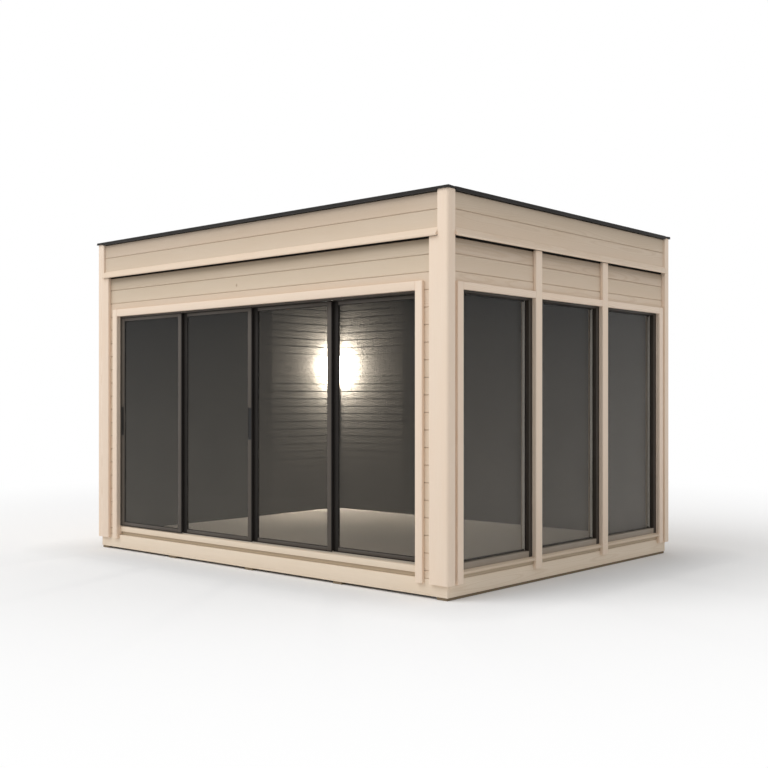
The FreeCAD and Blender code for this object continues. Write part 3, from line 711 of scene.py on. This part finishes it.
for number in (1, 2, 3, 4):
    low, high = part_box("door_leaf_%d" % number)
    foot, depths = low.z + leafBuild["lift"], depthsOf("front", low, high)
    middle = (depths[0] + depths[1]) / 2
    inner = (low.x + leafBuild["stile"], high.x - leafBuild["stile"])
    innerUp = (foot + leafBuild["rail"], high.z - leafBuild["rail"])
    meeting = high.x - (leafBuild["meeting"] if number < 4 else 0)
    shape = newShape()
    # a stile in dark rubber where a leaf meets the one before it, painted shade for the overlap
    for start, stop, finish in ((low.x, inner[0], int(number > 1)), (inner[1], meeting, 0)):
        addBoard(shape, "front", depths, (start, stop), (foot, high.z), leafBuild["edge"], 2, finish)
    if number < 3:
        pocketed(shape, *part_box("door_handle_%d" % number))
    if number < 4:  # rubber on the meeting edge, and a brush that sweeps the next leaf
        addBoard(shape, "front", depths, (meeting, high.x), (foot, high.z), leafBuild["edge"], 2, 1)
        addBoard(shape, "front", (depths[1], depths[1] + leafBuild["brush"]),
                 (high.x - leafBuild["brushWidth"], high.x), (foot, high.z), leafBuild["sweepEdge"], 1, 1)
    brushFront = depths[0] + leafBuild["brushLap"]
    for up in ((doorLow.z + leafBuild["brushGap"], foot + leafBuild["brushLap"]),
               (high.z - leafBuild["brushLap"], headFoot - leafBuild["brushGap"])):
        addBoard(shape, "front", (brushFront, brushFront + leafBuild["brush"]), (low.x, high.x), up,
                 leafBuild["brushEdge"], 1, 1)
    for up in ((foot, innerUp[0]), (innerUp[1], high.z)):
        addBoard(shape, "front", depths, inner, up, leafBuild["edge"], 2)
    for start in (low.x + leafBuild["shoeInset"], high.x - leafBuild["shoeInset"] - leafBuild["shoe"]):
        addRail(shape, middle, (start, start + leafBuild["shoe"]), (low.z, foot + leafBuild["shoeTop"]),
                leafBuild["shoeEdge"])
    for near in (middle - leafBuild["glass"] / 2 - leafBuild["gasket"], middle + leafBuild["glass"] / 2):
        addRing(shape, "front", (near, near + leafBuild["gasket"]), inner, innerUp, leafBuild["gasket"],
                leafBuild["gasketEdge"], (1, 1))
    finished("sliding_leaf_%d" % number, shape, [frameMetal, gasketRubber],
             ["door_leaf_%d" % number], "leaf_%d" % number)
    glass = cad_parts["door_glass_%d" % number].data.materials
    glass.clear()
    glass.append(leafGlass if number < 3 else innerLeafGlass)

pullBuild = {"edge": 0.0008, "rim": 0.004, "hollow": 0.004, "leastArea": 0.004}

for number in (1, 2):
    shape = newShape()
    addBlock(shape, *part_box("door_handle_%d" % number), pullBuild["edge"], 2)
    front = [face for face in shape.faces if facesFront(face) and face.calc_area() > pullBuild["leastArea"]]
    bmesh.ops.inset_individual(shape, faces=front, thickness=pullBuild["rim"])
    bmesh.ops.translate(shape, vec=(0, pullBuild["hollow"], 0),
                        verts=list({vert for face in front for vert in face.verts}))
    finished("flush_pull_%d" % number, shape, [pullMetal], ["door_handle_%d" % number],
             "leaf_%d" % number)
print("doorway is fitted")

# Windows

windowBuild = {"face": 0.048, "edge": 0.002, "pane": 0.004, "gasket": 0.004, "gasketEdge": 0.001,
               "spacer": 0.012}
sillBuild = {"edge": 0.003, "segments": 3, "sharp": 15}

shape = newShape()
addTrim(shape, "right", "window_surround", windowBoxes)
finished("window_surround_boards", shape, [trimWood], ["window_surround"])

low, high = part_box("window_battens")
shape = newShape()
for first, second in zip(windowBoxes, windowBoxes[1:]):
    addUpright(shape, "right", (first[1].y, second[0].y), (low.z, high.z))
finished("window_batten_boards", shape, [trimWood], ["window_battens"])
finished("window_sill_boards", easedCopy("window_sills", 1, **sillBuild), [shadedSillWood],
         ["window_sills"])

outerFace, innerFace = depthsOf("right", *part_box("window_glass"))
outerPane, innerPane = outerFace + windowBuild["pane"], innerFace - windowBuild["pane"]
panes, spacers = newShape(), newShape()
for number, (low, high) in enumerate(windowBoxes, start=1):
    depths = depthsOf("right", low, high)
    inner = (low.y + windowBuild["face"], high.y - windowBuild["face"])
    innerUp = (low.z + windowBuild["face"], high.z - windowBuild["face"])
    full = (low.z, high.z)
    shape = newShape()
    # the bottom rail takes the painted light, the other sides the painted shade
    for run, up, finish in (((low.y, inner[0]), full, 0), ((inner[1], high.y), full, 0),
                            (inner, (low.z, innerUp[0]), 2), (inner, (innerUp[1], high.z), 0)):
        addBoard(shape, "right", depths, run, up, windowBuild["edge"], 2, finish)
    for near in (outerFace - windowBuild["gasket"], innerFace):
        addRing(shape, "right", (near, near + windowBuild["gasket"]), inner, innerUp, windowBuild["gasket"],
                windowBuild["gasketEdge"], (1, 0))
    finished("window_casing_%d" % number, shape, [shadedCasingMetal, gasketRubber, litRailMetal],
             ["window_frame_%d" % number])
    for pane in ((outerFace, outerPane), (innerPane, innerFace)):
        addBoard(panes, "right", pane, inner, innerUp, 0, finish=number // 3)  # the third window's panes have a brighter painted reflection
    addRing(spacers, "right", (outerPane, innerPane), inner, innerUp, windowBuild["spacer"], 0, (0, 1))
finished("window_panes", panes, [paneGlass, brighterPaneGlass], ["window_glass"])
finished("window_spacers", spacers, [spacerMetal, gasketRubber])
print("windows are fitted")

# Lamp

lampBuild = {"radius": 0.03, "sheet": 0.0015, "spread": (-93.6, 3.6), "steps": 24, "strip": 0.006,
             "stripSides": 24, "stripEdge": 0.0015, "stripOut": 0.021, "stripEnd": 0.02, "stay": 0.006,
             "stayEnd": 0.012, "stayThickness": 0.003, "stayFront": 0.0015, "stayBack": 0.001,
             "stayEdge": 0.0005, "plate": 0.014, "plateThickness": 0.004, "plateEdge": 0.001}

low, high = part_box("wall_lamp")
height, radius, sheet = high.z - low.z, lampBuild["radius"], lampBuild["sheet"]
centre = Vector(((low.x + high.x) / 2, low.y + radius, low.z))
middle = centre + Vector((0, 0, height / 2))
outwards = Vector((1, -1, 0)).normalized()

# the shade curves round the room side, closed at its foot and open above, so its light washes the corner
shape = newShape()
turnFrom, turnTo = map(math.radians, lampBuild["spread"])
heading = Vector((math.cos(turnFrom), math.sin(turnFrom), 0))
section = [shape.verts.new(centre + heading * out + Vector((0, 0, up))) for out, up in (
    (0, 0), (radius, 0), (radius, height), (radius - sheet, height), (radius - sheet, sheet), (0, sheet))]
face = shape.faces.new(section)
bmesh.ops.spin(shape, geom=[face, *face.edges, *section], cent=centre, axis=(0, 0, 1),
               angle=turnTo - turnFrom, steps=lampBuild["steps"])
bmesh.ops.remove_doubles(shape, verts=shape.verts, dist=weld)
bmesh.ops.recalc_face_normals(shape, faces=list(shape.faces))
marked(shape, list(shape.verts), 2, 0)

verts = bmesh.ops.create_cone(shape, cap_ends=True, segments=lampBuild["stripSides"],
                              radius1=lampBuild["strip"], radius2=lampBuild["strip"],
                              depth=height - 2 * lampBuild["stripEnd"])["verts"]
bmesh.ops.translate(shape, vec=middle + outwards * lampBuild["stripOut"], verts=verts)
marked(shape, verts, 2, 1)
rims = [item for item in {edge for vert in verts for edge in vert.link_edges}
        if abs(item.verts[0].co.z - item.verts[1].co.z) < weld]
bevelled(shape, rims, lampBuild["stripEdge"], 2)

stay, plate = lampBuild["stay"], lampBuild["plate"]
for level in (low.z + lampBuild["stayEnd"], high.z - lampBuild["stayEnd"]):  # back to the wall plate
    addBlock(shape, (centre.x - stay, low.y + lampBuild["stayFront"], level - lampBuild["stayThickness"]),
             (centre.x + stay, high.y - lampBuild["stayBack"], level), lampBuild["stayEdge"], 1, 1)
addBlock(shape, (centre.x - plate, high.y - lampBuild["plateThickness"], low.z),
         (centre.x + plate, high.y, high.z), lampBuild["plateEdge"], 1, 1)
finished("wall_lantern", shape, [opalShade, frameMetal], ["wall_lamp"])

glowBuild = {"colour": (1.0, 0.965, 0.9), "washes": 4, "washRise": 0.08, "washReach": 0.078,
             "washPower": 480.0, "roomOut": 0.055, "roomPower": 155.0, "roomSize": 0.02}


def addGlow(name, spot, power, size):
    glow = bpy.data.objects.new(name, bpy.data.lights.new(name, "POINT"))
    glow.data.energy = power
    glow.data.color = glowBuild["colour"]
    glow.data.shadow_soft_size = size
    glow.data.cycles.max_bounces = 0
    glow.visible_glossy = False  # no pinpoint glints in the door frame
    glow.location = spot
    bpy.context.scene.collection.objects.link(glow)


middle += Vector((0, 0, glowBuild["washRise"]))
for index in range(glowBuild["washes"]):
    rise = glowBuild["washReach"] * (2 * index / (glowBuild["washes"] - 1) - 1)
    addGlow("lamp_wash_%d" % (index + 1), middle + Vector((0, 0, rise)),
            glowBuild["washPower"] / glowBuild["washes"], 0)
addGlow("lamp_room", middle + outwards * glowBuild["roomOut"], glowBuild["roomPower"], glowBuild["roomSize"])
print("lamp is hung")

# Floor of the studio, lights and camera

stageLook = {"size": 120.0, "albedo": 0.86, "lift": 0.15, "paintedShadeReach": 0.75, "fadeStart": 4.0,
             "fadeEnd": 8.5, "fadeMiddle": (-1.34, 1.48, 0.0), "ambient": 0.62, "sun": 1.27,
             "sunSpread": 45.0, "sunFrom": (-0.35, -0.6, 0.72)}
cameraView = {"place": (6.8499, -7.5726, 1.4198), "turn": 41.8035, "lens": 50.654, "rise": 0.02037}


def shown(tree):  # rays that show the background as it is
    path = addNode(tree, "ShaderNodeLightPath").outputs
    return maths(tree, "MAXIMUM", maths(tree, "MAXIMUM", path["Is Camera Ray"], path["Is Glossy Ray"]),
                 path["Is Transmission Ray"])


shape = bmesh.new()
bmesh.ops.create_grid(shape, x_segments=1, y_segments=1, size=stageLook["size"])
mesh = bpy.data.meshes.new("studio_floor")
shape.to_mesh(mesh)
shape.free()
studioFloor = bpy.data.objects.new("studio_floor", mesh)
bpy.context.scene.collection.objects.link(studioFloor)

paper, tree = newFinish("studio_paper")
mesh.materials.append(paper)
point, direct = objectPoint(tree), shown(tree)
beyond = vectorMaths(tree, "ABSOLUTE", point)[0]
beyond = vectorMaths(tree, "SUBTRACT", beyond, (halfLength, halfWidth, 0))[0]
away = vectorMaths(tree, "LENGTH", vectorMaths(tree, "MAXIMUM", beyond, (0, 0, 0))[0])["Value"]
clear = remapped(tree, away, 0.0, stageLook["paintedShadeReach"], 0.0, stageLook["lift"])  # none by the walls, which leaves a painted shade round the base
matte = addNode(tree, "ShaderNodeBsdfDiffuse", None, {"Color": (*[stageLook["albedo"]] * 3, 1)}).outputs[0]
lift = maths(tree, "MULTIPLY", direct, clear)
glow = addNode(tree, "ShaderNodeEmission", None, {"Strength": lift}).outputs[0]
lifted = addNode(tree, "ShaderNodeAddShader", None, {0: matte, 1: glow}).outputs[0]
white = addNode(tree, "ShaderNodeEmission", None, {"Strength": 1.0}).outputs[0]
reach = vectorMaths(tree, "DISTANCE", point, stageLook["fadeMiddle"])["Value"]
soften = addNode(tree, "ShaderNodeMapRange", {"interpolation_type": "SMOOTHSTEP"}, {
    "Value": reach, "From Min": stageLook["fadeStart"], "From Max": stageLook["fadeEnd"]}).outputs[0]
faded = addNode(tree, "ShaderNodeMixShader", None,
                {0: maths(tree, "MULTIPLY", soften, direct), 1: lifted, 2: white}).outputs[0]
addNode(tree, "ShaderNodeOutputMaterial", None, {"Surface": faded})

world = bpy.data.worlds.new("studio")
bpy.context.scene.world = world
world.use_nodes = True
tree = world.node_tree
tree.nodes.clear()
soft, plain = (
    addNode(tree, "ShaderNodeBackground", None, {"Color": (1, 1, 1, 1), "Strength": strength}).outputs[0]
    for strength in (stageLook["ambient"], 1.0))
both = addNode(tree, "ShaderNodeMixShader", None, {0: shown(tree), 1: soft, 2: plain}).outputs[0]
addNode(tree, "ShaderNodeOutputWorld", None, {"Surface": both})

sun = bpy.data.objects.new("key_light", bpy.data.lights.new("key_light", "SUN"))
sun.data.energy = stageLook["sun"]
sun.data.angle = math.radians(stageLook["sunSpread"])
sun.rotation_euler = Vector(stageLook["sunFrom"]).to_track_quat("Z", "Y").to_euler()
bpy.context.scene.collection.objects.link(sun)

camera = bpy.data.objects.new("camera", bpy.data.cameras.new("camera"))
camera.data.lens = cameraView["lens"]
camera.data.shift_y = cameraView["rise"]
camera.location = cameraView["place"]
camera.rotation_euler = (math.radians(90), 0, math.radians(cameraView["turn"]))
bpy.context.scene.collection.objects.link(camera)
bpy.context.scene.camera = camera
bpy.context.scene.view_settings.view_transform = "Standard"
print("studio is ready")
